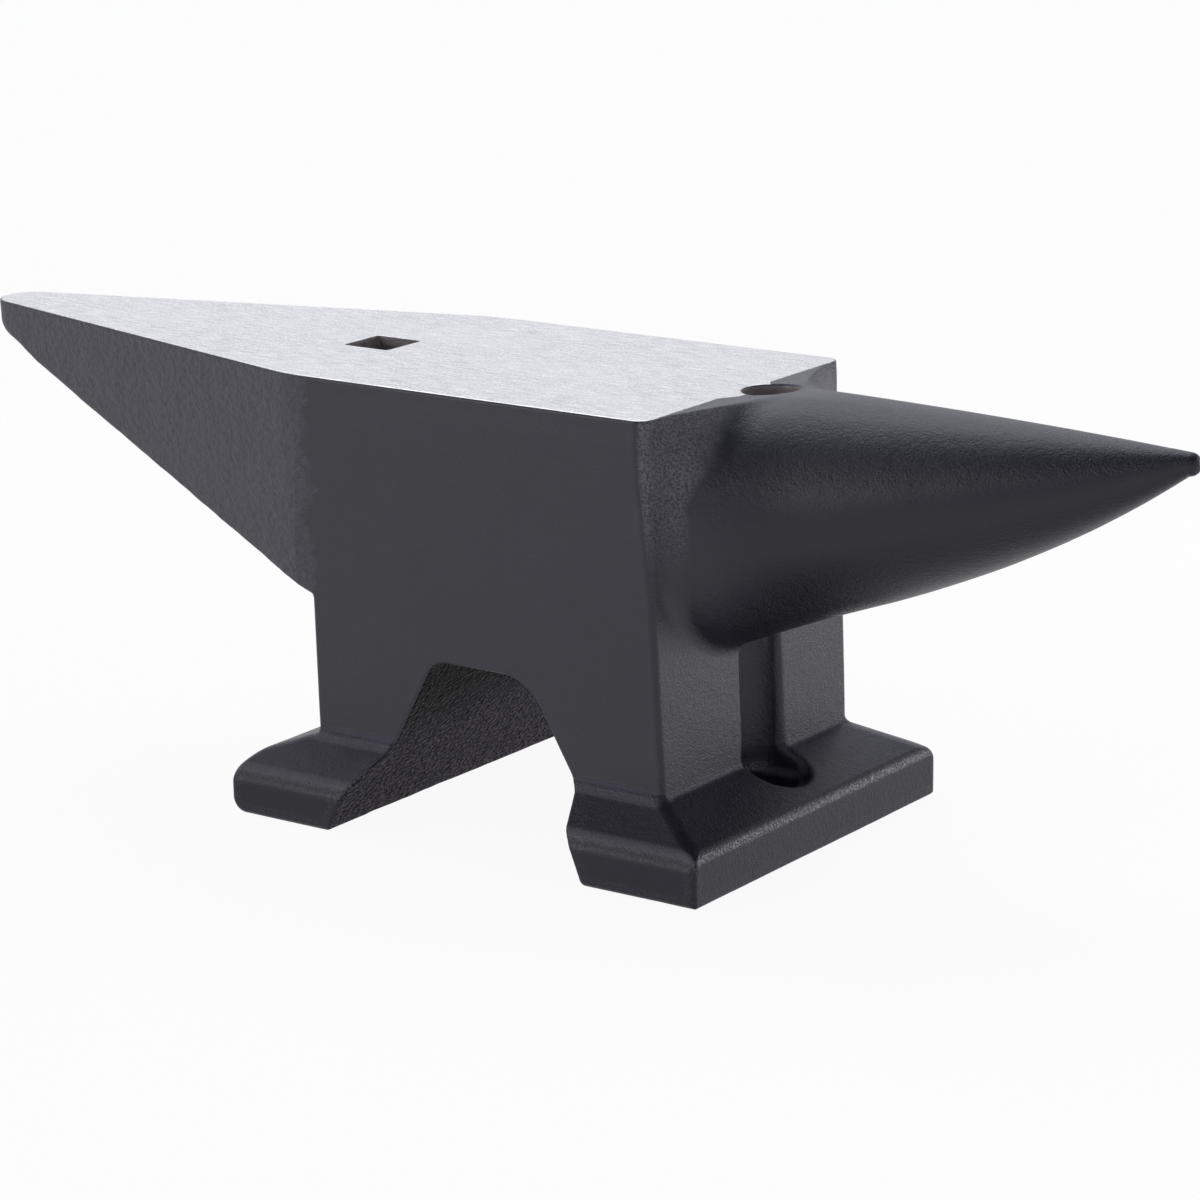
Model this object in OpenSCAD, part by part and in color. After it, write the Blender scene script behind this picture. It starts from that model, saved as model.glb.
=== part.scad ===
// Smith's anvil with one round horn and a flat tapering heel.
// X runs from the heel to the horn, Y across the face, Z up from the ground.

/* [Face] */
// Height of the working face above the ground
face_h = 164; // [140:1:190]
// Width of the face and of the block under it
face_w = 125; // [110:1:150]
// Length of the full-width part of the face
face_l = 158; // [152:1:176]
// Thickness of the hard face plate
plate_t = 10; // [6:1:10]
// Radius of the soft bend where the sides of the face turn into the taper
face_bend_r = 30; // [5:1:40]
// Corner radius of the face at its front
face_corner_r = 5; // [2:1:12]

/* [Heel] */
// Length of the heel that tapers to its tip
taper_l = 195.5; // [150:0.5:230]
// Radius of the rounded heel tip, seen from above
heel_tip_r = 12.2; // [8:0.1:18]
// Depth of the heel below the face where it leaves the body
heel_root_d = 82; // [70:1:90]
// Depth of the heel below the face at its tip
heel_tip_d = 12; // [12:0.5:20]

/* [Square hole] */
// Side of the square tool hole
square_hole = 20; // [12:0.5:24]
// Wall left between the square hole and the rear wall of the body
square_hole_wall = 2.1; // [1:0.1:30]

/* [Body] */
// Length of the body, from its front edge to its rear wall
body_l = 150.5; // [144:0.5:151]
// How far the front wall leans out between the face and the feet
front_lean = 4.2; // [0:0.1:8]
// How far each side draws in between the face and the feet
side_draft = 2.8; // [0:0.1:5]
// Height of the arch between the feet
arch_h = 64.8; // [54:0.2:74]
// Width of the flat top of the arch
arch_top_w = 41; // [30:0.5:50]
// Width of the arch where the legs meet the feet
arch_foot_w = 81; // [70:0.5:90]
// Distance from the front edge back to the middle of the arch
arch_back = 74.5; // [70:0.5:78]
// Radius at the top corners of the arch
arch_r = 7; // [2:0.5:10]

/* [Horn] */
// Reach of the horn in front of the face
horn_l = 178.5; // [140:0.5:220]
// Radius of the horn at its root
horn_root_r = 45.8; // [36:0.2:50]
// Radius of the horn's blunt tip
horn_tip_r = 4.1; // [3:0.1:7]
// How much of the horn's taper bulges, 0 for a straight cone
horn_bulge = 0.32; // [0:0.01:0.6]
// How late the bulging part of the taper falls away
horn_bulge_power = 2.85; // [1.5:0.05:4]
// Rise of the horn's crown above the face
crown_rise = 2.4; // [0:0.1:4]
// Distance from the root over which the crown rises
crown_run = 22; // [10:1:40]
// Fall of the crown's line at the tip
crown_fall = 1.9; // [0:0.1:8]
// Spread of the root's shoulders where they flow into the block
shoulder = 13; // [0:0.5:14]
// Length over which the shoulders fade into the round horn
shoulder_fade = 11; // [6:0.5:20]

/* [Round hole] */
// Diameter of the round punching hole
round_hole_d = 20.5; // [10:0.5:22]
// How far the round hole's middle lies in front of the face, whose edge it cuts
hole_x = 8.4; // [6:0.1:16]
// How far the round hole lies to the side of the anvil's middle
hole_y = 3.6; // [0:0.1:6]
// Radial clearance round the round hole of the groove and its pocket below it
groove_clear = 1.75; // [1:0.05:3]
// Height above the ground of the floor of the groove's pocket
pocket_z = 18; // [12:0.5:19]

/* [Feet] */
// Width of the feet across the anvil
foot_w = 160; // [150:1:180]
// Reach of the front foot in front of the body's front edge
front_foot_reach = 30.8; // [26:0.2:40]
// Reach of the rear foot behind the body's rear wall
rear_foot_reach = 26; // [16:0.5:36]
// Height of the front foot's outer edge
front_foot_edge = 17.5; // [14:0.5:22]
// Height of the rear foot's outer edge
rear_foot_edge = 15.6; // [14:0.2:22]
// Height of the front foot's edge inside the arch
front_foot_inner_edge = 15.5; // [13:0.5:18]
// Height at which the body stands on the feet
foot_h = 29.5; // [27:0.5:36]
// Distance from the middle of the arch to the inner edge of the front foot
front_edge_in = 50.8; // [49:0.2:52]
// Distance from the middle of the arch to the inner wall of the front foot at the ground
front_sole_in = 57; // [54:0.5:60]
// Distance from the middle of the arch to the inner wall of the rear foot at the ground
rear_sole_in = 56.5; // [54:0.5:60]
// Radius under the front foot's inner wall
front_sole_r = 9; // [2:0.5:11]
// Radius under the rear foot's outer edge
rear_toe_r = 6; // [1:0.5:8]
// Radius of the other long edges of the feet
foot_edge_r = 2.4; // [1:0.2:4]
// Radius of the upper edges at the ends of the feet
foot_end_r = 6; // [1:0.5:6]

/* [Hidden] */

// Steps of a rounded corner, and sides and rings of the horn
corner_steps = 6;
horn_sides = 64;
horn_rings = 26;
hole_sides = 96;
// How far cutting shapes reach past what they cut
past = 5;

plate_z = face_h - plate_t;
heel_x = -face_l - taper_l;
shift_x = -(heel_x + horn_l) / 2;
arch_x = -arch_back;
groove_r = round_hole_d / 2 + groove_clear;
square_x = -body_l - square_hole_wall - square_hole / 2;
heel_root_z = face_h - heel_root_d;
heel_tip_z = face_h - heel_tip_d;
lean_per_mm = front_lean / (plate_z - foot_h);
draft_per_mm = side_draft / (plate_z - foot_h);
horn_bottom_z = face_h - 2 * horn_root_r;
groove_x = lean_per_mm * (plate_z - (horn_bottom_z + foot_h) / 2);

// Front wall and half-width of the body at a height, both true to the plate's edge at its top
function front_x(z) = lean_per_mm * (plate_z - z);
function side_y(z) = face_w / 2 - draft_per_mm * (plate_z - z);

// Outline with rounded corners: each point is [x, y, radius]
function unit(v) = v / norm(v);
function flat(p) = [p.x, p.y];
function turned(p, t) = [p.x * cos(t) - p.y * sin(t), p.x * sin(t) + p.y * cos(t)];
function corner(a, b, c, r) =
    let (u = unit(a - b), w = unit(c - b), half = acos(u * w) / 2,
         middle = b + unit(u + w) * r / sin(half),
         start = b + u * r / tan(half) - middle,
         turn = -sign(cross(u, w)) * (180 - 2 * half))
    r == 0 ? [b] : [for (i = [0 : corner_steps]) middle + turned(start, turn * i / corner_steps)];
function rounded(path) =
    let (n = len(path))
    [for (i = [0 : n - 1])
        each corner(flat(path[(i + n - 1) % n]), flat(path[i]), flat(path[(i + 1) % n]), path[i][2])];

// A side view outline in X and Z, spread along Y
module across(width) {
    translate([0, width / 2, 0]) rotate([90, 0, 0]) linear_extrude(width) children();
}

// A front view outline in Y and Z, spread along X
module along(from, to) {
    translate([from, 0, 0]) rotate([90, 0, 90]) linear_extrude(to - from) children();
}

module placed() {
    translate([shift_x, 0, 0]) children();
}

// Plan of the face: full width, then the taper and its round tip
module face_plan() {
    half = face_w / 2;
    polygon(rounded([
        [0, -half, face_corner_r], [0, half, face_corner_r],
        [-face_l, half, face_bend_r], [heel_x, heel_tip_r * heel_cut(), heel_tip_r * 0.99],
        [heel_x, -heel_tip_r * heel_cut(), heel_tip_r * 0.99],
        [-face_l, -half, face_bend_r]]));
}

// Half-width of the taper at its tip, in tip radii, so that the tip is one round arc
function heel_cut() =
    let (lean = atan((face_w / 2 - heel_tip_r) / (taper_l - heel_tip_r))) tan(45 - lean / 2);

module square_cut() {
    translate([square_x - square_hole / 2, -square_hole / 2, 0])
        cube([square_hole, square_hole, face_h + past]);
}

module round_cut(x, radius, from, to) {
    translate([x, hole_y, from]) cylinder(h = to - from, r = radius, $fn = hole_sides);
}

module bore_cut() {
    round_cut(hole_x, round_hole_d / 2, foot_h + past, face_h + 2 * past);
}

// Relief for a punch under the round hole: half-round where it runs into the front wall
module groove_cut(from, to) {
    round_cut(groove_x, groove_r, from, to);
    round_cut(hole_x, groove_r, from, to);
    translate([groove_x, hole_y - groove_r, from]) cube([hole_x - groove_x, 2 * groove_r, to - from]);
}

// Half-width of the arch at a height
function arch_half(z) =
    arch_top_w / 2 + (arch_foot_w - arch_top_w) / 2 * (arch_h - z) / (arch_h - foot_h);

// End view of the block, whose sides draw in towards the feet
module drafted_end() {
    top_half = side_y(plate_z);
    foot_half = side_y(foot_h);
    polygon([[-foot_half, foot_h], [foot_half, foot_h], [top_half, plate_z], [-top_half, plate_z]]);
}

module body() {
    color([0.25, 0.25, 0.28]) placed() difference() {
        intersection() {
            across(face_w) polygon(rounded([
                [-body_l, plate_z, 0], [-body_l, foot_h, 0],
                [arch_x - arch_half(foot_h), foot_h, 0],
                [arch_x - arch_top_w / 2, arch_h, arch_r],
                [arch_x + arch_top_w / 2, arch_h, arch_r],
                [arch_x + arch_half(foot_h), foot_h, 0],
                [front_x(foot_h), foot_h, 0], [front_x(plate_z), plate_z, 0]]));
            along(-body_l, front_x(0)) drafted_end();
        }
        groove_cut(0, horn_bottom_z + past);
        bore_cut();
    }
}

module face_plate() {
    color([0.86, 0.87, 0.89]) placed() difference() {
        translate([0, 0, plate_z]) linear_extrude(plate_t) face_plan();
        square_cut();
        bore_cut();
    }
}

module heel() {
    color([0.33, 0.33, 0.36]) placed() difference() {
        intersection() {
            linear_extrude(plate_z) face_plan();
            across(face_w) polygon([
                [-body_l, plate_z], [-body_l, heel_root_z],
                [heel_x, heel_tip_z], [heel_x, plate_z]]);
            along(heel_x, -body_l) drafted_end();
        }
        square_cut();
    }
}

// A foot: its side view is cut by the end view with its sloping ends
module foot(edge_z, from, to) {
    sole = foot_w / 2;
    seat = side_y(foot_h);
    intersection() {
        across(foot_w) children();
        along(from, to) polygon(rounded([
            [-sole, 0, foot_edge_r], [sole, 0, foot_edge_r], [sole, edge_z, foot_end_r],
            [seat, foot_h, 0], [-seat, foot_h, 0], [-sole, edge_z, foot_end_r]]));
    }
}

module front_foot() {
    toe = front_foot_reach;
    inner = arch_x + arch_half(foot_h);
    color([0.27, 0.26, 0.28]) placed() difference() {
        foot(front_foot_edge, inner - past, toe) polygon(rounded([
            [inner, foot_h, 0],
            [arch_x + front_edge_in, front_foot_inner_edge, foot_edge_r],
            [arch_x + front_sole_in, 0, front_sole_r], [toe, 0, foot_edge_r],
            [toe, front_foot_edge, foot_edge_r], [front_x(foot_h), foot_h, 0]]));
        groove_cut(pocket_z, foot_h + past);
    }
}

module rear_foot() {
    toe = -body_l - rear_foot_reach;
    inner = arch_x - arch_half(foot_h);
    color([0.27, 0.26, 0.28]) placed()
        foot(rear_foot_edge, toe, inner + past) polygon(rounded([
            [inner, foot_h, 0], [-body_l, foot_h, 0], [toe, rear_foot_edge, foot_edge_r],
            [toe, 0, rear_toe_r], [arch_x - rear_sole_in, 0, foot_edge_r],
            [arch_x - arch_half(rear_foot_edge), rear_foot_edge, foot_edge_r]]));
}

// The horn: rings of a round section that taper along a gently falling crown
function horn_r(u) =
    horn_root_r + (horn_tip_r - horn_root_r) * ((1 - horn_bulge) * u + horn_bulge * pow(u, horn_bulge_power));
function crown_z(x) =
    face_h + crown_rise * (1 - exp(-pow(x / crown_run, 2))) - (crown_rise + crown_fall) * pow(x / horn_l, 2);
function shoulder_at(x, t) =
    shoulder * exp(-pow(x / shoulder_fade, 1.2)) * pow(max(0, abs(cos(abs(t - 90) - 50))), 5);

// One ring point: x, then the angle t from +Y over the crown
function horn_point(x, r, t) =
    let (z0 = crown_z(x) - r, reach = r + (abs(t - 90) < 140 ? shoulder_at(x, t) : 0))
    [x, reach * cos(t), min(z0 + reach * sin(t), crown_z(x))];

module horn_solid() {
    nose = horn_l - horn_tip_r;
    stations = [
        for (i = [0 : horn_rings]) let (u = i / horn_rings, x = -past + (nose + past) * (0.35 * u + 0.65 * pow(u, 1.5)))
            [x, horn_r(max(0, x) / nose)],
        for (a = [18 : 18 : 72]) [nose + horn_tip_r * sin(a), horn_tip_r * cos(a)]];
    rings = len(stations);
    tip = [horn_l, 0, crown_z(nose) - horn_tip_r];
    points = [
        for (s = stations) for (k = [0 : horn_sides - 1])
            let (t = 360 * k / horn_sides, p = horn_point(max(0, s.x), s.y, t))
            [s.x, p.y, s.x > nose ? crown_z(nose) - horn_tip_r + s.y * sin(t) : p.z],
        tip];
    faces = [
        [for (k = [0 : horn_sides - 1]) k],
        for (i = [0 : rings - 2]) for (k = [0 : horn_sides - 1])
            let (a = i * horn_sides + k, b = i * horn_sides + (k + 1) % horn_sides)
            each [[a, a + horn_sides, b], [b, a + horn_sides, b + horn_sides]],
        for (k = [0 : horn_sides - 1])
            let (base = (rings - 1) * horn_sides)
            [base + k, rings * horn_sides, base + (k + 1) % horn_sides]];
    polyhedron(points, faces, convexity = 4);
}

module horn() {
    color([0.24, 0.25, 0.28]) placed() difference() {
        horn_solid();
        across(face_w) polygon([
            [front_x(0), 0], [0, plate_z], [0, face_h + past],
            [-4 * past, face_h + past], [-4 * past, 0]]);
        bore_cut();
    }
}

body();
face_plate();
horn();
heel();
front_foot();
rear_foot();
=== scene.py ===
"""Looks of a smith's anvil with one horn: a smooth cast skin over the part, its finishes, a studio."""
import math

import bmesh
import bpy
import numpy as np
from mathutils import Matrix, Vector

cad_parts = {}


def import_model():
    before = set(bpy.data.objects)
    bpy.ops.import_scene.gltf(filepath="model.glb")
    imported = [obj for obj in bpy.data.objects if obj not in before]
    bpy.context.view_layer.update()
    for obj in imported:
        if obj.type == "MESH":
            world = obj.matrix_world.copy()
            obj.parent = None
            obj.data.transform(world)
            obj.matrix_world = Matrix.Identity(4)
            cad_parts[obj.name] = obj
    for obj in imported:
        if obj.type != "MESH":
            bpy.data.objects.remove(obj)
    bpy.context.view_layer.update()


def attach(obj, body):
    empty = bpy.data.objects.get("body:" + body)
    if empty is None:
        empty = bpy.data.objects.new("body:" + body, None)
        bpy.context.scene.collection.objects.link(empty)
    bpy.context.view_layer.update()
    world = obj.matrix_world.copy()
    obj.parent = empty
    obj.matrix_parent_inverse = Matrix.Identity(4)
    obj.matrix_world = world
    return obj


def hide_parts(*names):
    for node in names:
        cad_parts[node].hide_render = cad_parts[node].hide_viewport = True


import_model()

# ---- Sizes in millimetres, x = 0 at the front edge of the face, as the part has them ----
MM = 0.001
SHIFT = 87.5
FACE_H, FACE_W, FACE_L, PLATE_T = 164.0, 125.0, 158.0, 10.0
TAPER_L, TIP_R, HEEL_ROOT_D, HEEL_TIP_D = 195.5, 12.2, 82.0, 12.0
SQUARE, SQUARE_WALL = 20.0, 2.1
BODY_L, LEAN, DRAFT = 150.5, 4.2, 2.8
ARCH_H, ARCH_TOP, ARCH_FOOT, ARCH_BACK, ARCH_R = 64.8, 41.0, 81.0, 74.5, 7.0
HORN_L, ROOT_R, HORN_TIP_R = 178.5, 45.8, 4.1
BULGE, BULGE_POWER, CROWN_RISE, CROWN_FALL, CROWN_RUN = 0.32, 2.85, 2.4, 1.9, 22.0
BORE_D, BORE_X, BORE_Y, RELIEF, POCKET_Z = 20.5, 8.4, 3.6, 1.75, 18.0
FOOT_W, FOOT_H = 160.0, 29.5
FRONT_REACH, REAR_REACH, FRONT_EDGE, REAR_EDGE = 30.8, 26.0, 17.5, 15.6
FRONT_STEP, FRONT_EDGE_IN, FRONT_SOLE_IN, REAR_SOLE_IN = 15.5, 50.8, 57.0, 56.5

PLATE_Z = FACE_H - PLATE_T
HEEL_X = -FACE_L - TAPER_L
SQUARE_X = -BODY_L - SQUARE_WALL - SQUARE / 2
ARCH_X = -ARCH_BACK
HORN_Z = FACE_H - 2 * ROOT_R
NOSE = HORN_L - HORN_TIP_R
CROWN_TOP = 166.08

# ---- What the skin adds to the part: roundings, fillets and drafts ----
FACE_EDGE_R, SIDE_R, HEEL_TIP_MORE_R = 0.7, 1.8, 3.0
CHEEK_MORE_R, CHEEK_TOP_MORE_R = 0.6, 2.6
HEEL_DRAFT, SIDE_BEND, HEEL_FILLET = 0.02, 2.2, 0.6
ROOT_FILLET, ROOT_SIDE_FILLET, ROOT_TOP_FILLET = 3.5, 6, 13
ROOT_SQUARE_RUN, ROOT_WIDER, ROOT_SQUARER = 24, 0.12, 0.45
ARCH_EDGE_R, ARCH_REAR_R, ARCH_FRONT_R = 1.2, ARCH_R - 3.5, ARCH_R + 1.5
ARCH_SOFTENING = (-1.2, -0.6, 0, 0.6, 1.2)
FRONT_RIDGE, FRONT_END_RIDGE, FRONT_RIDGE_R, FRONT_SOLE_R = FRONT_EDGE + 0.8, 17.3, 3.4, 1.0
REAR_RIDGE, REAR_END_RIDGE, REAR_RIDGE_R, REAR_SOLE_R = REAR_EDGE + 4.6, 16.6, 8.5, 6.0
END_RIDGE_R, FAR_CORNER_R, NEAR_CORNER_R = 4.5, 4.0, 2.0
ANKLE_FILLET, ANKLE_CORNER_FILLET = 1.4, 2.2
GROOVE_BACK, GROOVE_TOP, GROOVE_TOP_R, GROOVE_FILLET = 3.4, HORN_Z + 5, 1.0, 1.5
POCKET_FLOOR, POCKET_R, BORE_END = POCKET_Z + 0.5, 7.0, HORN_Z - 12
SQUARE_CORNER_R, SQUARE_MOUTH_R, SQUARE_END = 0.8, 0.45, FOOT_H + 14
BLOCK_END, HEEL_END, HORN_START, HORN_INSIDE = 14, -BODY_L + 8, -10, -12     # where each ends in the next

# ---- The mesh's own measures ----
STEP = 1.0          # side of a grid cell
OFF_GRID = 4.63     # margin that keeps the grid off the part's level and upright planes
OVERLAP = 2.5       # how far past a cut the surface is kept before it is cut
EDGE_REACH = 6.0    # how far an edge is felt
SLOW_SWELL, FINE_SWELL = 13.0, 4.3      # sizes of the casting's unevenness
BEYOND = 20         # below the soles and
OVERHEAD = 200      # above the crown, where the arch's outline is drawn on to


# ---- Shape: signed distances in millimetres, negative inside the iron ----
def meet(a, b, r):
    """Both shapes at once, with the edge between them rounded by r."""
    return np.minimum(np.maximum(a, b), -r) + np.hypot(np.maximum(a + r, 0), np.maximum(b + r, 0))


def join(a, b, r):
    """Either shape, with the corner between them filled by a fillet of radius r."""
    return np.maximum(np.minimum(a, b), r) - np.hypot(np.maximum(r - a, 0), np.maximum(r - b, 0))


def ease(value, start, end):
    t = np.clip((value - start) / (end - start), 0, 1)
    return t * t * (3 - 2 * t)


def line(u, v, start, end):
    """Distance of (u, v) to the left of the line from start to end."""
    du, dv = end[0] - start[0], end[1] - start[1]
    return ((v - start[1]) * du - (u - start[0]) * dv) / math.hypot(du, dv)


def side_y(z):
    return FACE_W / 2 - DRAFT / (PLATE_Z - FOOT_H) * np.maximum(PLATE_Z - z, 0)


def front_x(z):
    return LEAN / (PLATE_Z - FOOT_H) * np.maximum(PLATE_Z - z, 0)


def crown_z(x):
    x = np.maximum(x, 0)
    rise = CROWN_RISE * (1 - np.exp(-(x / CROWN_RUN) ** 2))
    return FACE_H + rise - (CROWN_RISE + CROWN_FALL) * (x / HORN_L) ** 2


def horn_r(u):
    return ROOT_R + (HORN_TIP_R - ROOT_R) * ((1 - BULGE) * u + BULGE * u ** BULGE_POWER)


def face_plan(x, y, z):
    """Seen from above: straight sides that bend into the taper, and its round tip."""
    y = np.abs(y)
    lean = math.atan((FACE_W / 2 - TIP_R) / (TAPER_L - TIP_R))
    for _ in range(3):
        lean = math.atan((FACE_W / 2 - TIP_R / math.cos(lean)) / (TAPER_L - TIP_R))
    along = (x - HEEL_X - TIP_R) * math.cos(lean) + y * math.sin(lean)
    off = y * math.cos(lean) - (x - HEEL_X - TIP_R) * math.sin(lean) - TIP_R
    tip = np.hypot(x - HEEL_X - TIP_R, y) - TIP_R
    taper = np.where(along < 0, tip, off) + HEEL_DRAFT * np.maximum(FACE_H - z, 0)
    straight = y - FACE_W / 2
    gap = np.maximum(SIDE_BEND - np.abs(taper - straight), 0)
    return np.maximum(taper, straight) + gap * gap / (4 * SIDE_BEND)


def arch_void(x, z):
    """The arch between the feet, and the inner walls of the feet below it."""
    slope = (ARCH_FOOT - ARCH_TOP) / 2 / (ARCH_H - FOOT_H)
    rear_in = ARCH_FOOT / 2 + slope * (FOOT_H - REAR_EDGE)
    high = ARCH_TOP / 2 + slope * (ARCH_H - OVERHEAD)

    def half(level, edge_z, edge_in, sole_in):
        lowest = sole_in + BEYOND * (sole_in - edge_in) / edge_z
        return np.interp(level, [-BEYOND, 0, edge_z, FOOT_H, OVERHEAD],
                         [lowest, sole_in, edge_in, ARCH_FOOT / 2, high])

    def soft(*outline):
        return sum(half(z + d, *outline) for d in ARCH_SOFTENING) / len(ARCH_SOFTENING)

    wide = np.where(x > ARCH_X, soft(FRONT_STEP, FRONT_EDGE_IN, FRONT_SOLE_IN),
                    soft(REAR_EDGE, rear_in, REAR_SOLE_IN))
    # the walls slope, so 0.87 of the level distance is the distance to them
    walls = (np.abs(x - ARCH_X) - wide) * 0.87
    return meet(z - ARCH_H, walls, np.where(x < ARCH_X, ARCH_REAR_R, ARCH_FRONT_R))


def foot(x, y, z, toe, sign, edge, end_edge, ankle_x, ridge_r, sole_r):
    """One foot: a sole with sloping shoulders on its outer side and its ends."""
    ends = np.abs(y) - FOOT_W / 2
    out = (x - toe) * sign
    seat = float(side_y(FOOT_H))
    slope = line(x * sign, z, (toe * sign, edge), (ankle_x * sign, FOOT_H))
    fall = line(np.abs(y), z, (FOOT_W / 2, end_edge), (seat, FOOT_H))
    lengthwise = meet(meet(out, -slope, ridge_r), -z, sole_r)
    crosswise = meet(ends, -fall, END_RIDGE_R)
    return meet(lengthwise, crosswise, np.where(y > 0, FAR_CORNER_R, NEAR_CORNER_R))


def feet(x, y, z):
    """Both feet, each on its own side of the arch's middle."""
    front = foot(x, y, z, FRONT_REACH, 1, FRONT_RIDGE, FRONT_END_RIDGE, float(front_x(FOOT_H)),
                 FRONT_RIDGE_R, FRONT_SOLE_R)
    rear = foot(x, y, z, -BODY_L - REAR_REACH, -1, REAR_RIDGE, REAR_END_RIDGE, -BODY_L,
                REAR_RIDGE_R, REAR_SOLE_R)
    return np.minimum(np.maximum(front, ARCH_X - x), np.maximum(rear, x - ARCH_X))


def block_and_heel(x, z):
    """Their side view. The block starts inside the feet, and the heel inside the block."""
    block = np.maximum(np.maximum(x - front_x(z), -BODY_L - x), BLOCK_END - z)
    under = line(x, z, (HEEL_X, FACE_H - HEEL_TIP_D), (-BODY_L, FACE_H - HEEL_ROOT_D))
    heel = np.maximum(-under, x - HEEL_END)
    return join(block, heel, HEEL_FILLET)


def with_horn(iron, x, y, z):
    """Adds the horn, whose root is a little squarer than round and flares into the block's shoulders."""
    near = np.clip(x, HORN_INSIDE, NOSE)
    r = horn_r(np.clip(near / NOSE, 0, 1))
    up = z - crown_z(near) + r
    at_root = np.exp(-(near / ROOT_SQUARE_RUN) ** 2)
    across, n = np.abs(y) / (1 + ROOT_WIDER * at_root), 2 + ROOT_SQUARER * at_root
    round_out = (across ** n + np.abs(up) ** n) ** (1 / n)
    out = np.hypot(round_out, np.maximum(x - NOSE, 0))
    # the horn tapers, so 0.965 of the upright distance is the distance to it
    horn = np.maximum((out - r) * 0.965, HORN_START - x)
    lift = up / np.maximum(out, 1)
    flare = ROOT_FILLET + ROOT_SIDE_FILLET * ease(lift, -0.8, 0) + ROOT_TOP_FILLET * ease(lift, 0.3, 0.8)
    return join(iron, horn, flare)


def round_hole(x, y, z):
    """The round hole, with the groove and the pocket under it."""
    bore = np.hypot(x - BORE_X, y - BORE_Y) - BORE_D / 2
    groove = np.hypot(x - np.clip(x, GROOVE_BACK, BORE_X), y - BORE_Y) - (BORE_D / 2 + RELIEF)
    groove = meet(groove, POCKET_FLOOR - z, POCKET_R)
    groove = meet(groove, z - GROOVE_TOP, GROOVE_TOP_R)
    return join(np.maximum(bore, BORE_END - z), groove, GROOVE_FILLET)


def square_hole(x, y, z):
    square = meet(np.abs(x - SQUARE_X) - SQUARE / 2, np.abs(y) - SQUARE / 2, SQUARE_CORNER_R)
    return np.maximum(square, SQUARE_END - z)


def anvil(p):
    x, y, z = p[:, 0], p[:, 1], p[:, 2]
    side = np.maximum(np.abs(y) - side_y(z), face_plan(x, y, z))
    iron = with_horn(block_and_heel(x, z), x, y, z)
    side_r = SIDE_R + HEEL_TIP_MORE_R * ease(-x, 320, 345)
    side_r = side_r + (CHEEK_MORE_R + CHEEK_TOP_MORE_R * ease(z, 90, 150)) * ease(x, -14, -4)
    iron = meet(side, iron, side_r)
    iron = join(iron, feet(x, y, z), ANKLE_FILLET + ANKLE_CORNER_FILLET * ease(np.abs(y), 54, 62))
    iron = meet(iron, -arch_void(x, z), ARCH_EDGE_R)
    # the level face and the horn's crown, which stops short of the nose
    top = (z - np.where(x < 0, FACE_H, crown_z(np.minimum(x, NOSE)))) * 0.995
    iron = meet(iron, np.where(x > NOSE - 8, top - 30, top), FACE_EDGE_R)
    # the groove's edges are softer low down, and the pocket's softest
    iron = meet(iron, -round_hole(x, y, z), 0.9 + 1.8 * ease(z, 90, 60) + 1.2 * ease(z, 42, 28))
    return meet(iron, -square_hole(x, y, z), SQUARE_MOUTH_R)


def lattice(seed):
    return np.random.default_rng(seed).random((32, 32, 32)).astype(np.float32) * 2 - 1


LATTICE = lattice(seed=11)


def lumps(p, size, offset=0.0):
    """Smooth random swelling from -1 to 1, about size millimetres across."""
    q = p / size + offset
    cell = np.floor(q).astype(np.int64)
    t = q - cell
    t = t * t * (3 - 2 * t)
    total = np.zeros(len(p))
    for corner in range(8):
        bits = np.array([corner & 1, corner >> 1 & 1, corner >> 2 & 1])
        i, j, k = ((cell + bits) % 32).T
        weight = np.prod(np.where(bits, t, 1 - t), axis=1)
        total += weight * LATTICE[i, j, k]
    return total


def cast_skin(p):
    """The shape with the unevenness of a sand casting, none of it on the milled face, most where rough."""
    x, y, z = p[:, 0], p[:, 1], p[:, 2]
    level = ease(FACE_H - z, 1.0, 5.0)
    rough = ease(-x, BODY_L + 1, BODY_L + 8) * ease(z, 34, 46)
    in_arch = ease(-arch_void(x, z), -3.5, -1.0) * ease(side_y(z) - np.abs(y), 1, 5)
    root = ease(np.abs(x - 3), 14, 4) * ease(z, 108, 140) * ease(np.abs(y), 18, 34)
    slow = 0.07 + 0.12 * rough + 0.14 * in_arch + 0.1 * root
    fine = 0.02 + 0.10 * rough + 0.10 * in_arch + 0.2 * root
    swell = slow * lumps(p, SLOW_SWELL) + fine * lumps(p, FINE_SWELL, 0.37)
    sunk = (0.16 + 0.2 * rough + 0.3 * in_arch) * 0.5
    return anvil(p) + level * (sunk + swell)


def slopes(shape, p, eps=0.06):
    """Gradient of a distance by four samples round each point."""
    total = np.zeros_like(p)
    for k in ((1, -1, -1), (-1, -1, 1), (-1, 1, -1), (1, 1, 1)):
        k = np.array(k, float)
        total += shape(p + eps * k)[:, None] * k
    return total / (4 * eps)


def in_parts(shape, p, size=400000):
    return np.concatenate([shape(p[i:i + size]) for i in range(0, len(p), size)])


# ---- Mesh: one quad surface over the whole shape, a vertex in each cell that it crosses ----
def sampled(shape, low, high, step):
    """Distances on a grid, worked out only near the surface. Elsewhere only the sign counts."""
    block = 4
    counts = [int(math.ceil((h - l) / step / block)) for l, h in zip(low, high)]
    centres = [l + (np.arange(n) * block + (block - 1) / 2) * step for l, n in zip(low, counts)]
    coarse = in_parts(shape, np.stack(np.meshgrid(*centres, indexing="ij"), -1).reshape(-1, 3))
    coarse = coarse.reshape(counts)
    values = coarse.astype(np.float32)
    near = np.abs(coarse) < block * step * 1.25
    for axis in range(3):
        values, near = np.repeat(values, block, axis), np.repeat(near, block, axis)
    index = np.argwhere(near)
    values[near] = in_parts(shape, low + index * step)
    return values


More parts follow.
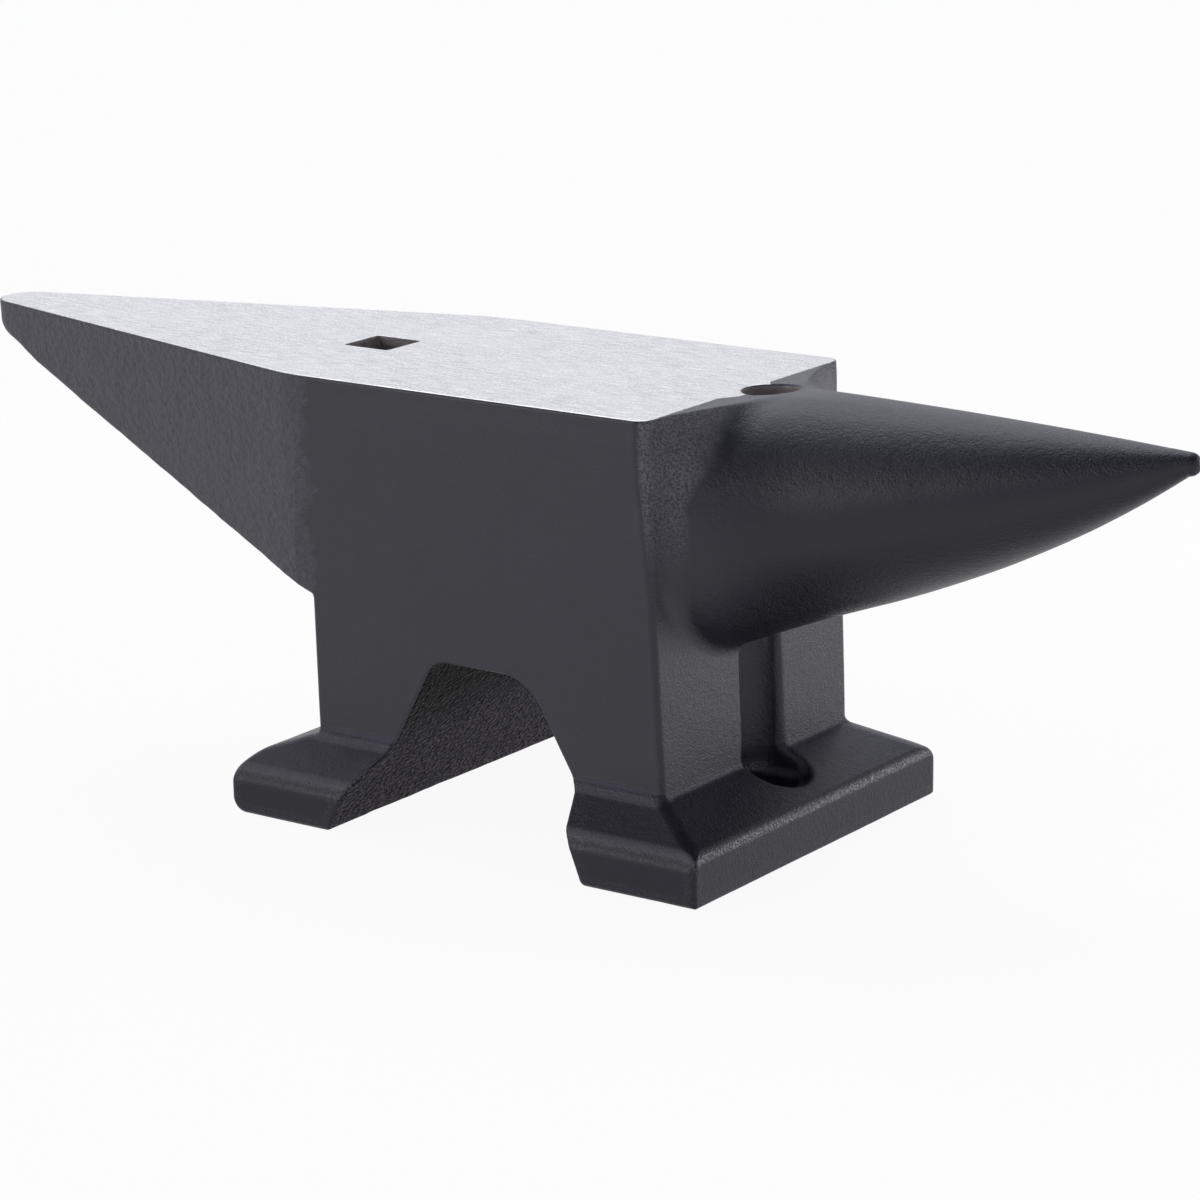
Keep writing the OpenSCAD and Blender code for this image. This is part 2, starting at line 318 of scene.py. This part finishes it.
def crossings(values, low, step):
    """Grid edges where the sign changes: their axis, cell, place and which end is inside."""
    found = []
    for axis in range(3):
        a = np.take(values, range(values.shape[axis] - 1), axis)
        b = np.take(values, range(1, values.shape[axis]), axis)
        cells = np.argwhere((a < 0) != (b < 0))
        va, vb = a[tuple(cells.T)], b[tuple(cells.T)]
        place = cells.astype(float)
        place[:, axis] += va / (va - vb)
        found.append((axis, cells, low + place * step, va < 0))
    return found


def around(axis, cells):
    """The four cells that share a grid edge, in turn about its axis."""
    b, c = np.eye(3, dtype=int)[(axis + 1) % 3], np.eye(3, dtype=int)[(axis + 2) % 3]
    return [cells - b - c, cells - c, cells, cells - b]


def best_corner(total, count, centre):
    """The point in each cell that fits the planes through it, held near their middle."""
    a = np.empty((len(count), 3, 3))
    order = [(0, 0), (0, 1), (0, 2), (1, 1), (1, 2), (2, 2)]
    for k, (i, j) in enumerate(order):
        a[:, i, j] = a[:, j, i] = total[k]
    b = np.stack(total[6:9], -1)
    a[:, range(3), range(3)] += 0.08
    return centre + np.linalg.solve(a, b[..., None])[..., 0]


def skin(shape, low, high, step):
    values = sampled(shape, low, high, step)
    dims = values.shape
    ids, points, normals, quads = [], [], [], []
    for axis, cells, place, inside in crossings(values, low, step):
        four = [np.ravel_multi_index(c.T, dims) for c in around(axis, cells)]
        quad = np.stack(four, -1)
        quads.append(np.where(inside[:, None], quad, quad[:, ::-1]))
        n = in_parts(lambda q: slopes(shape, q), place)
        n /= np.maximum(np.linalg.norm(n, axis=1, keepdims=True), 1e-9)
        for c in four:
            ids.append(c)
            points.append(place)
            normals.append(n)
    quads = np.concatenate(quads)
    ids, points, normals = np.concatenate(ids), np.concatenate(points), np.concatenate(normals)
    cells, slot = np.unique(ids, return_inverse=True)

    def gathered(weights):
        return np.bincount(slot, weights, len(cells))

    count = gathered(np.ones(len(slot)))
    centre = np.stack([gathered(points[:, i]) / count for i in range(3)], -1)
    off = ((points - centre[slot]) * normals).sum(1)
    n = normals.T
    total = [gathered(n[i] * n[j]) for i, j in ((0, 0), (0, 1), (0, 2), (1, 1), (1, 2), (2, 2))]
    total += [gathered(n[i] * off) for i in range(3)]
    found = best_corner(total, count, centre)
    corner = low + np.stack(np.unravel_index(cells, dims), -1) * step
    found = np.clip(found, corner - 0.1 * step, corner + 1.1 * step)
    return found, np.searchsorted(cells, quads)


def settled(shape, points):
    """Moves each point onto the shape, by a short step along its gradient."""
    for _ in range(2):
        g = in_parts(lambda q: slopes(shape, q), points)
        f = in_parts(shape, points)
        move = f[:, None] * g / np.maximum((g * g).sum(1, keepdims=True), 0.2)
        size = np.linalg.norm(move, axis=1, keepdims=True)
        points = points - move * np.minimum(1, 0.7 / np.maximum(size, 1e-9))
    return points


# ---- Pieces: the surface parted at the same planes as the part's nodes ----
def plane(point, normal):
    n = np.array(normal, float)
    return np.array(point, float), n / np.linalg.norm(n)


FRONT_WALL = ((float(front_x(FOOT_H)), 0, FOOT_H), (1, 0, LEAN / (PLATE_Z - FOOT_H)))
ABOVE_PLATE = plane((0, 0, PLATE_Z), (0, 0, -1))
BELOW_PLATE = plane((0, 0, PLATE_Z), (0, 0, 1))
FACE_FRONT = plane((0, 0, 0), (1, 0, 0))
FACE_AHEAD = plane((0, 0, 0), (-1, 0, 0))
BEHIND_WALL = plane(FRONT_WALL[0], FRONT_WALL[1])
BEFORE_WALL = plane(FRONT_WALL[0], tuple(-v for v in FRONT_WALL[1]))
AHEAD_OF_REAR = plane((-BODY_L, 0, 0), (-1, 0, 0))
REAR_SIDE = plane((-BODY_L, 0, 0), (1, 0, 0))
ON_FEET = plane((0, 0, FOOT_H), (0, 0, -1))
IN_FEET = plane((0, 0, FOOT_H), (0, 0, 1))
LOW_FRONT = plane((0, 0, 55), (0, 0, 1))
HIGH_FRONT = plane((0, 0, 55), (0, 0, -1))
FRONT_HALF = plane((ARCH_X, 0, 0), (-1, 0, 0))
REAR_HALF = plane((ARCH_X, 0, 0), (1, 0, 0))

REGIONS = {
    "face_plate": [[ABOVE_PLATE, FACE_FRONT]],
    "body": [[BELOW_PLATE, ON_FEET, BEHIND_WALL, AHEAD_OF_REAR]],
    "horn": [[FACE_AHEAD, BEFORE_WALL, HIGH_FRONT]],
    "heel": [[BELOW_PLATE, REAR_SIDE, HIGH_FRONT]],
    "front_foot": [[IN_FEET, FRONT_HALF], [ON_FEET, LOW_FRONT, BEFORE_WALL]],
    "rear_foot": [[IN_FEET, REAR_HALF], [ON_FEET, LOW_FRONT, REAR_SIDE]],
}


def raw_mesh(name, points, quads):
    mesh = bpy.data.meshes.new(name)
    mesh.vertices.add(len(points))
    mesh.vertices.foreach_set("co", points.astype(np.float32).ravel())
    mesh.loops.add(quads.size)
    mesh.loops.foreach_set("vertex_index", quads.astype(np.int32).ravel())
    mesh.polygons.add(len(quads))
    mesh.polygons.foreach_set("loop_start", np.arange(0, quads.size, 4, dtype=np.int32))
    mesh.update()
    return mesh


def parted(bm, planes):
    """Cuts a surface by planes, drops what is outside them and closes each cut."""
    for point, normal in planes:
        geometry = bm.verts[:] + bm.edges[:] + bm.faces[:]
        cut = bmesh.ops.bisect_plane(bm, geom=geometry, dist=1e-5, plane_co=point, plane_no=normal,
                                     clear_outer=True)
        edges = [e for e in cut["geom_cut"] if isinstance(e, bmesh.types.BMEdge) and e.is_boundary]
        if edges:
            made = bmesh.ops.triangle_fill(bm, use_beauty=False, use_dissolve=False, edges=edges)
            for f in made["geom"]:
                if isinstance(f, bmesh.types.BMFace) and f.normal.dot(Vector(normal)) < 0:
                    f.normal_flip()


def region_mesh(name, points, quads, convex_parts):
    whole = bmesh.new()
    for planes in convex_parts:
        inside = np.ones(len(points), bool)
        for point, normal in planes:
            inside &= (points - point) @ normal < OVERLAP
        chosen = quads[inside[quads].all(1)]
        used, renumbered = np.unique(chosen, return_inverse=True)
        mesh = raw_mesh(name, points[used], renumbered.reshape(chosen.shape))
        part = bmesh.new()
        part.from_mesh(mesh)
        bpy.data.meshes.remove(mesh)
        parted(part, planes)
        joined = bpy.data.meshes.new(name)
        part.to_mesh(joined)
        part.free()
        whole.from_mesh(joined)
        bpy.data.meshes.remove(joined)
    mesh = bpy.data.meshes.new(name)
    whole.to_mesh(mesh)
    whole.free()
    return mesh


def finished(mesh):
    """Shading normals, and how convex each edge is for the worn edges and their painted highlight, from the
    shape itself, so that no seam shows.
    """
    p = np.empty(len(mesh.vertices) * 3, np.float32)
    mesh.vertices.foreach_get("co", p)
    p = p.reshape(-1, 3).astype(float)
    n = in_parts(lambda q: slopes(cast_skin, q), p)
    n /= np.maximum(np.linalg.norm(n, axis=1, keepdims=True), 1e-9)
    edge = in_parts(anvil, p + n * EDGE_REACH) + in_parts(anvil, p - n * EDGE_REACH)
    edge_convexity = np.clip(edge / EDGE_REACH, -1, 1)
    mesh.attributes.new("edge", "FLOAT", "POINT").data.foreach_set("value", edge_convexity.astype(np.float32))
    placed = (p + np.array([SHIFT, 0, 0])) * MM
    mesh.vertices.foreach_set("co", placed.astype(np.float32).ravel())
    mesh.polygons.foreach_set("use_smooth", np.ones(len(mesh.polygons), bool))
    mesh.update()
    mesh.normals_split_custom_set_from_vertices(n.astype(np.float32))


def make_pieces():
    low = np.array([HEEL_X, -FOOT_W / 2, 0]) - OFF_GRID
    high = np.array([HORN_L + 4, FOOT_W / 2 + 4, FACE_H + 6])
    points, quads = skin(anvil, low, high, STEP)
    points = settled(cast_skin, points)
    points = np.clip(points, (HEEL_X, -FOOT_W / 2, 0), (HORN_L, FOOT_W / 2, CROWN_TOP))
    pieces = {}
    for node, convex_parts in REGIONS.items():
        mesh = region_mesh("skin_" + node, points, quads, convex_parts)
        finished(mesh)
        obj = bpy.data.objects.new("skin_" + node, mesh)
        bpy.context.scene.collection.objects.link(obj)
        pieces[node] = obj
    return pieces


# ---- Finishes ----
class Value:
    """A socket that carries a number, so that sums of it are written as Python."""

    def __init__(self, finish, socket):
        self.finish, self.socket = finish, socket

    def _with(self, operation, *others):
        return self.finish.node("ShaderNodeMath", {"operation": operation}, [self, *others])

    def __add__(self, other):
        return self._with("ADD", other)

    def __sub__(self, other):
        return self._with("SUBTRACT", other)

    def __mul__(self, other):
        return self._with("MULTIPLY", other)

    def __rsub__(self, other):
        return self.finish.node("ShaderNodeMath", {"operation": "SUBTRACT"}, [other, self])

    def __neg__(self):
        return self * -1.0

    def __abs__(self):
        return self._with("ABSOLUTE")

    __radd__, __rmul__ = __add__, __mul__

    def over(self, start, end):
        """0 at start, 1 at end, smooth between."""
        settings = {"interpolation_type": "SMOOTHSTEP"}
        return self.finish.node("ShaderNodeMapRange", settings, {0: self, 1: start, 2: end, 3: 0.0, 4: 1.0})

    def under(self, start, end):
        """1 at start, 0 at end, smooth between."""
        return 1.0 - self.over(start, end)

    def most(self, other):
        return self._with("MAXIMUM", other)


class Finish:
    """One procedural material."""

    def __init__(self, name, tree=None):
        if tree is None:
            self.material = bpy.data.materials.new(name)
            self.material.use_nodes = True
            tree = self.material.node_tree
        self.tree = tree
        self.tree.nodes.clear()

    def node(self, kind, settings=None, inputs=None, output=0):
        """Makes a node of a kind, sets it, fills its sockets, and gives back one output or several."""
        made = self.tree.nodes.new(kind)
        for key, value in (settings or {}).items():
            setattr(made, key, value)
        pairs = enumerate(inputs) if isinstance(inputs, (list, tuple)) else (inputs or {}).items()
        for key, value in pairs:
            socket = made.inputs[key]
            if isinstance(value, Value):
                self.tree.links.new(value.socket, socket)
            else:
                socket.default_value = value
        if isinstance(output, tuple):
            return [Value(self, made.outputs[one]) for one in output]
        return None if output is None else Value(self, made.outputs[output])

    def mix(self, factor, a, b):
        """Colour a where factor is 0 and b where it is 1."""
        settings = {"data_type": "RGBA", "blend_type": "MIX", "clamp_factor": True}
        a, b = (c if isinstance(c, Value) else (*c, 1.0) for c in (a, b))
        return self.node("ShaderNodeMix", settings, {0: factor, 6: a, 7: b}, 2)

    def shrunk(self, size, stretch):
        """The place in steps of size millimetres, stretched along x, y and z."""
        scale = tuple(s / size for s in stretch)
        return self.node("ShaderNodeVectorMath", {"operation": "MULTIPLY"}, [self.point, scale])

    def grain(self, size, detail=2.0, rough=0.5, stretch=(1, 1, 1)):
        """Random grain, about size millimetres across, near 0.5."""
        inputs = {"Vector": self.shrunk(size, stretch), "Scale": 1.0, "Detail": detail, "Roughness": rough}
        return self.node("ShaderNodeTexNoise", {"noise_dimensions": "3D"}, inputs)

    def pebbles(self, size, smooth, stretch):
        """Sand, 0 in the middle of each grain."""
        inputs = {"Vector": self.shrunk(size, stretch), "Scale": 1.0, "Smoothness": smooth}
        return self.node("ShaderNodeTexVoronoi", {"feature": "SMOOTH_F1"}, inputs)

    def parts(self, vector):
        return self.node("ShaderNodeSeparateXYZ", None, [vector], (0, 1, 2))

    def start(self):
        """Reads the place in millimetres, as the shapes use it, and the direction of the surface."""
        place = self.node("ShaderNodeTexCoord", output=3)
        self.point = self.node("ShaderNodeVectorMath", {"operation": "MULTIPLY_ADD"},
                               [place, (1000.0, 1000.0, 1000.0), (-SHIFT, 0.0, 0.0)])
        self.x, self.y, self.z = self.parts(self.point)
        self.nx, self.ny, self.nz = self.parts(self.node("ShaderNodeNewGeometry", output=1))
        self.edge = self.node("ShaderNodeAttribute", {"attribute_name": "edge"}, output=2)

    def surface(self, inputs):
        shader = self.node("ShaderNodeBsdfPrincipled", None, inputs)
        self.node("ShaderNodeOutputMaterial", None, {0: shader}, None)

    def raised(self, height, distance, below=None):
        inputs = {"Height": height, "Distance": distance, "Strength": 1.0}
        if below is not None:
            inputs["Normal"] = below
        return self.node("ShaderNodeBump", None, inputs)


COAT_INDEX, FOOT_INDEX = 1.45, 1.36
COAT = (0.0165, 0.0153, 0.0255), (0.0200, 0.0187, 0.0300)
PAINTED_SHADE_COAT, PAINTED_LIGHT_SHOULDER = (0.0040, 0.0034, 0.0120), (0.060, 0.0575, 0.0700)
HEEL_COAT, HEEL_LUMP_SHADE = ((0.046, 0.0445, 0.059), (0.058, 0.056, 0.072)), (0.033, 0.032, 0.043)
SAND_LIT_TOP, SAND_SHADED_GAP, SAND_SHADE = (0.092, 0.080, 0.100), (0.005, 0.0047, 0.0055), (0.003, 0.0028, 0.0034)
HOLE_WALL, ROOT_GRIT, SPECK_GLINT = (0.200, 0.180, 0.176), (0.180, 0.174, 0.200), (0.09, 0.088, 0.095)
BARE_EDGE_AND_HIGHLIGHT = (0.28, 0.28, 0.30)
STEEL, STEEL_CLOUD = ((0.38, 0.378, 0.372), (0.87, 0.856, 0.832)), (0.765, 0.754, 0.732)
CAST_RELIEF, MILLING_RELIEF = 0.0010, 0.00008     # metres


def milled(f):
    """1 on the bright ground face and its ragged tongue by the round hole, 0 on the coated sides."""
    level = f.z.over(FACE_H - 0.24, FACE_H - 0.10) * f.nz.over(0.72, 0.92)
    tongue = abs(f.y + 1.0).under(9.0, 17.0) * 4.6
    edge = f.x - tongue - (f.grain(2.6, 3.0, 0.6) - 0.5) * 1.6
    return level * edge.under(-0.2, 0.35)


def rough_heel(f):
    """The heel's sides, up to a ragged line near the body's rear edge."""
    ragged = (f.grain(9.0, 3.0, 0.6) - 0.5) * 22.0
    behind = (f.x + ragged).under(-BODY_L - 5.0, -BODY_L + 4.0)
    return behind * f.z.over(75.0, 84.0) * (-f.nx).under(0.8, 0.95)


def rough_arch(f):
    """The arch's walls and roof and the inner walls of the feet."""
    inward = abs(f.ny).under(0.3, 0.75) * f.nz.under(0.1, 0.35)
    reach = abs(f.x - ARCH_X).under(58.0, 64.0) * f.x.over(-BODY_L + 2.5, -BODY_L + 4.5)
    return inward * reach * f.z.under(64.0, 72.0)


def rough_root(f):
    """The cheeks of the front wall beside the horn's root, fading downwards."""
    beside = (abs(f.x - 1.0) - (f.grain(5.0) - 0.5) * 4.0).under(4.0, 15.0)
    return beside * f.z.over(104.0, 142.0) * abs(f.y).over(14.0, 34.0) * f.nx.over(0.30, 0.70)


def worn_and_highlit(f):
    """Where the coat is worn thin, and a painted highlight along the ridges of the feet, stronger where
    they face the front; a little on other low edges.
    """
    ridge_wear_and_highlight = f.nz.over(0.12, 0.30) * f.nz.under(0.55, 0.75) * f.z.over(9.0, 12.0) * f.z.under(21.0, 25.0)
    ridge_wear_and_highlight = ridge_wear_and_highlight * (0.25 + f.nx.over(0.2, 0.5) * 1.2)
    low_edge = f.edge.over(0.15, 0.4) * f.z.under(24.0, 34.0)
    return (ridge_wear_and_highlight * 0.7 + low_edge * 0.15) * f.grain(0.9, 2.0, 0.7).over(0.42, 0.64)


def hole_walls(f):
    """Inside the square hole, and inside the round one above the groove."""
    square = abs(f.x - SQUARE_X).under(10.6, 12.0) * abs(f.y).under(10.6, 12.0) * f.z.over(84.0, 88.0)
    bore = abs(f.x - BORE_X).under(10.7, 11.6) * abs(f.y - BORE_Y).under(10.7, 11.6) * f.z.over(60.0, 90.0)
    return square.most(bore * f.nz.under(0.2, 0.6))


def smooth_coat(f, tone):
    """The coat on smooth iron: darker on the horn and low down, as painted shade, and lighter on the feet's
    shoulders, as painted light.
    """
    colour = f.mix(tone, *COAT)
    # painted shade: a darker coat towards the horn and low down near the floor
    colour = f.mix(f.x.over(0.0, 40.0).most(f.z.under(18.0, 30.0) * 0.8), colour, PAINTED_SHADE_COAT)
    # painted light: the feet's sloping shoulders get a lighter coat
    outward = abs(f.ny).over(0.4, 0.7).most((-f.nx).over(0.3, 0.6))
    lit_shoulder = outward * f.nz.over(0.40, 0.60) * f.z.under(27.0, 33.0)
    return f.mix(lit_shoulder, colour, PAINTED_LIGHT_SHOULDER)


def ground_steel(f, streak):
    """Bare steel with the fine lines of milling along the face and faint clouds."""
    colour = f.mix(streak.over(0.33, 0.67), *STEEL)
    cloud = f.grain(14.0, 4.0, 0.6, (0.3, 1.0, 1.0))
    return f.mix(cloud.over(0.35, 0.7) * 0.3, colour, STEEL_CLOUD)


def iron_coat(name, index=COAT_INDEX):
    """Dark satin coat over cast iron, rough on the heel, the arch and the root, and the milled face."""
    f = Finish(name)
    f.start()
    bright = milled(f)
    coated = 1.0 - bright
    heel, arch, root = rough_heel(f) * coated, rough_arch(f), rough_root(f) * coated
    rough = heel.most(arch).most(root)
    wear_and_highlight = worn_and_highlit(f)
    pits = f.grain(0.75, 3.0, 0.66, (0.8, 1.0, 1.0))
    blobs = f.grain(2.3, 2.0, 0.55, (0.68, 1.0, 1.0))
    sand = f.pebbles(1.3, 0.3, (1, 0.75, 1))
    fine = f.grain(1.2, 2.0, 0.7, (1.0, 0.75, 1.0))
    tone = f.grain(30.0, 3.0, 0.55)
    streak = f.grain(1.0, 3.0, 0.7, (0.10, 1.0, 1.0)) * 0.55 + f.grain(1.0, 2.0, 0.6) * 0.45

    # relief, each kind of grain about its own middle, so that no step shows where it ends
    pitted, lumpy, grit = pits - 0.5, blobs - 0.5, 0.45 - sand
    height = heel * (pitted * 0.5 + lumpy * 1.5) + arch * (grit * 1.2 + (fine - 0.5) * 0.9)
    height = height + root * (pitted * 1.3 + lumpy * 0.8 + grit * 0.5)
    smooth = (1.0 - rough) * coated * (1.0 - abs(f.ny).over(0.9, 0.99) * 0.7)
    height = height + smooth * (pitted * 0.26 + lumpy * 0.17)
    normal = f.raised(streak * bright, MILLING_RELIEF, f.raised(height, CAST_RELIEF))

    # colour, from the coat outwards
    # painted shade: the heel's coat is darker in a mottle over its raised lumps
    dull = f.mix(blobs.over(0.3, 0.7) * 0.6, f.mix(tone, *HEEL_COAT), HEEL_LUMP_SHADE)
    colour = f.mix(heel, smooth_coat(f, tone), dull)
    # painted light and shade on the sand: lighter on the tops of the grains, darker in the gaps between
    # them
    sand_light_and_shade = f.mix(sand.over(0.15, 0.5) * 0.6 + fine.over(0.4, 0.6) * 0.4, SAND_LIT_TOP, SAND_SHADED_GAP)
    shaded = (-f.nz).over(0.5, 0.9).most(f.z.over(24.0, 56.0))
    colour = f.mix(arch, colour, f.mix(shaded * 0.92, sand_light_and_shade, SAND_SHADE))
    colour = f.mix(hole_walls(f), colour, HOLE_WALL)
    colour = f.mix(root * (0.25 + pits.over(0.36, 0.62) * 0.7), colour, ROOT_GRIT)
    # painted glints: small light specks on the tops of the sand grains in the arch and by the horn's root
    painted_glints = f.grain(0.9, 2.0, 0.6, (1.0, 0.5, 1.0)).over(0.56, 0.64) * sand.under(0.25, 0.50)
    colour = f.mix(painted_glints * arch.most(root) * 0.9, colour, SPECK_GLINT)
    # partly worn bare iron, partly painted highlight: the ridges of the feet and the low edges are made
    # lighter
    colour = f.mix(wear_and_highlight * 0.42, colour, BARE_EDGE_AND_HIGHLIGHT)
    colour = f.mix(bright, colour, ground_steel(f, streak))

    # gloss, with less of it in the arch; in the crease over the feet and under the horn, metal over the
    # dark coat dims the reflection, as painted shade
    satin = 0.38 + rough * 0.14 + arch * 0.2 + pitted * 0.16 - wear_and_highlight * 0.08
    shine = 0.34 + (streak - 0.5) * 0.2
    crease = f.nz.over(0.05, 0.20) * f.nz.under(0.5, 0.7) * f.z.over(29.0, 30.0) * f.z.under(36.0, 44.0)
    under_horn = (-f.nz).over(0.1, 0.7) * f.x.over(8.0, 24.0)
    metal = bright.most(wear_and_highlight * 0.35).most(arch).most(crease * 0.6).most(under_horn * 0.4)
    f.surface({"IOR": index, "Base Color": colour, "Roughness": satin * coated + shine * bright,
               "Metallic": metal, "Normal": normal})
    return f.material


# ---- Studio ----
PHOTO_STEP = 1.25                                        # millimetres
PHOTO_AZIMUTH, PHOTO_HEIGHT, PHOTO_TILT = 35.9, 14.945, -1.009   # degrees
PHOTO_CENTRE = (43.105, -67.387, -1186.753)              # the face's front edge, as the camera sees it
FLOOR_SIZE, FLOOR_GLOW = 14.0, 0.93
WALL, DIM_WALL = (0.92, 0.92, 1.0), (0.37, 0.37, 0.43)
NEAR_WALL, HORN_WALL = (0.96, 0.96, 1.0), (0.55, 0.55, 0.60)
DARK_CEILING, DARK_REAR = (0.07, 0.07, 0.08), (0.10, 0.10, 0.12)


def camera():
    """The photograph's viewpoint, in steps of 1.25 mm about the face's front edge."""
    az, el, roll = (math.radians(angle) for angle in (PHOTO_AZIMUTH, PHOTO_HEIGHT, PHOTO_TILT))
    right = Vector((math.cos(az), math.sin(az), 0))
    back = Vector((math.sin(az) * math.cos(el), -math.cos(az) * math.cos(el), math.sin(el)))
    up = back.cross(right)
    c, s = math.cos(roll), math.sin(roll)
    x_axis, y_axis = right * c + up * s, up * c - right * s
    held = Vector(PHOTO_CENTRE) * PHOTO_STEP * MM
    at = -(x_axis * held.x + y_axis * held.y + back * held.z) + Vector((SHIFT * MM, 0, 0))
    data = bpy.data.cameras.new("camera")
    data.lens, data.sensor_width, data.shift_y = 123.36, 36, 0.0010
    data.clip_start, data.clip_end = 0.05, 60
    obj = bpy.data.objects.new("camera", data)
    obj.matrix_world = Matrix([[x_axis[i], y_axis[i], back[i], at[i]] for i in range(3)] + [[0, 0, 0, 1]])
    bpy.context.scene.collection.objects.link(obj)
    bpy.context.scene.camera = obj


def lamp(name, where, aim, width, height, power, colour=(1, 1, 1)):
    data = bpy.data.lights.new(name, "AREA")
    data.shape, data.size, data.size_y, data.energy, data.color = "RECTANGLE", width, height, power, colour
    obj = bpy.data.objects.new(name, data)
    obj.location = where
    obj.rotation_mode = "QUATERNION"
    obj.rotation_quaternion = (Vector(aim) - Vector(where)).to_track_quat("-Z", "Y")
    bpy.context.scene.collection.objects.link(obj)


def background_rays(f):
    """1 for what the camera, gloss and glass see of the floor and the room."""
    rays = ("Is Camera Ray", "Is Glossy Ray", "Is Transmission Ray")
    seen, glossy, passing = f.node("ShaderNodeLightPath", None, None, rays)
    return seen.most(glossy).most(passing)


def floor():
    corners = [(-1, -1), (1, -1), (1, 1), (-1, 1)]
    mesh = bpy.data.meshes.new("floor")
    mesh.from_pydata([(x * FLOOR_SIZE, y * FLOOR_SIZE, 0) for x, y in corners], [], [(0, 1, 2, 3)])
    obj = bpy.data.objects.new("floor", mesh)
    bpy.context.scene.collection.objects.link(obj)
    f = Finish("pale_floor")
    lit = f.node("ShaderNodeBsdfDiffuse", None, {"Color": (0.93, 0.93, 0.93, 1)})
    glow = f.node("ShaderNodeEmission", None, {"Color": (1, 1, 1, 1), "Strength": 1.0})
    both = f.node("ShaderNodeMixShader", None, {0: background_rays(f) * FLOOR_GLOW, 1: lit, 2: glow})
    f.node("ShaderNodeOutputMaterial", None, {0: both}, None)
    mesh.materials.append(f.material)


def soft_sun(name, azimuth, height, strength, spread, colour=(1, 1, 1)):
    """A wide soft light from far away, so that the whole floor is lit alike."""
    data = bpy.data.lights.new(name, "SUN")
    data.energy, data.angle, data.color = strength, math.radians(spread), colour
    a, h = math.radians(azimuth), math.radians(height)
    towards = Vector((math.sin(a) * math.cos(h), -math.cos(a) * math.cos(h), math.sin(h)))
    obj = bpy.data.objects.new(name, data)
    obj.rotation_mode = "QUATERNION"
    obj.rotation_quaternion = (-towards).to_track_quat("-Z", "Y")
    bpy.context.scene.collection.objects.link(obj)


def world():
    """A pale room, darker in front, behind and overhead, which the coat and the face mirror."""
    made = bpy.data.worlds.new("studio")
    made.use_nodes = True
    bpy.context.scene.world = made
    w = Finish("studio", made.node_tree)
    x, y, z = w.parts(w.node("ShaderNodeTexCoord", output=0))
    low = w.mix((x * 0.5 - y).over(-0.5, 1.0), WALL, DIM_WALL)
    low = w.mix((x - y).over(1.10, 1.32), low, NEAR_WALL)
    high = w.mix((-x).over(0.25, 0.65), DARK_CEILING, WALL)
    high = w.mix(y.over(0.1, 0.5), high, DARK_REAR)
    high = w.mix(x.over(0.45, 0.75), high, HORN_WALL)
    room = w.mix(z.over(0.38, 0.62), low, high)
    back = w.node("ShaderNodeBackground", None, {0: room, 1: 1.0})
    w.node("ShaderNodeOutputWorld", None, {0: back}, None)


def main():
    pieces = make_pieces()
    finishes = {
        "body": ("cast_dark", iron_coat("dark_cast_coat")),
        "heel": ("cast_rough", iron_coat("rough_cast_coat")),
        "horn": ("horn_dark", iron_coat("dark_horn_coat")),
        "front_foot": ("foot_dark", iron_coat("dark_foot_coat", FOOT_INDEX)),
        "face_plate": ("bright_face", iron_coat("milled_face")),
    }
    finishes["rear_foot"] = finishes["front_foot"]
    for node, piece in pieces.items():
        slot_name, material = finishes[node]
        piece.data.materials.append(material)
        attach(piece, "root")
        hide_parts(node)
    camera()
    floor()
    world()
    soft_sun("back", azimuth=222, height=55, strength=1.25, spread=45, colour=(0.87, 0.92, 1.0))
    soft_sun("front_left", azimuth=-35, height=16, strength=0.8, spread=35)
    lamp("right", (0.5, 0.6, 0.15), aim=(0.0, 0.06, 0.10), width=0.4, height=0.25, power=1.35)
    bpy.context.scene.view_settings.view_transform = "Standard"


main()
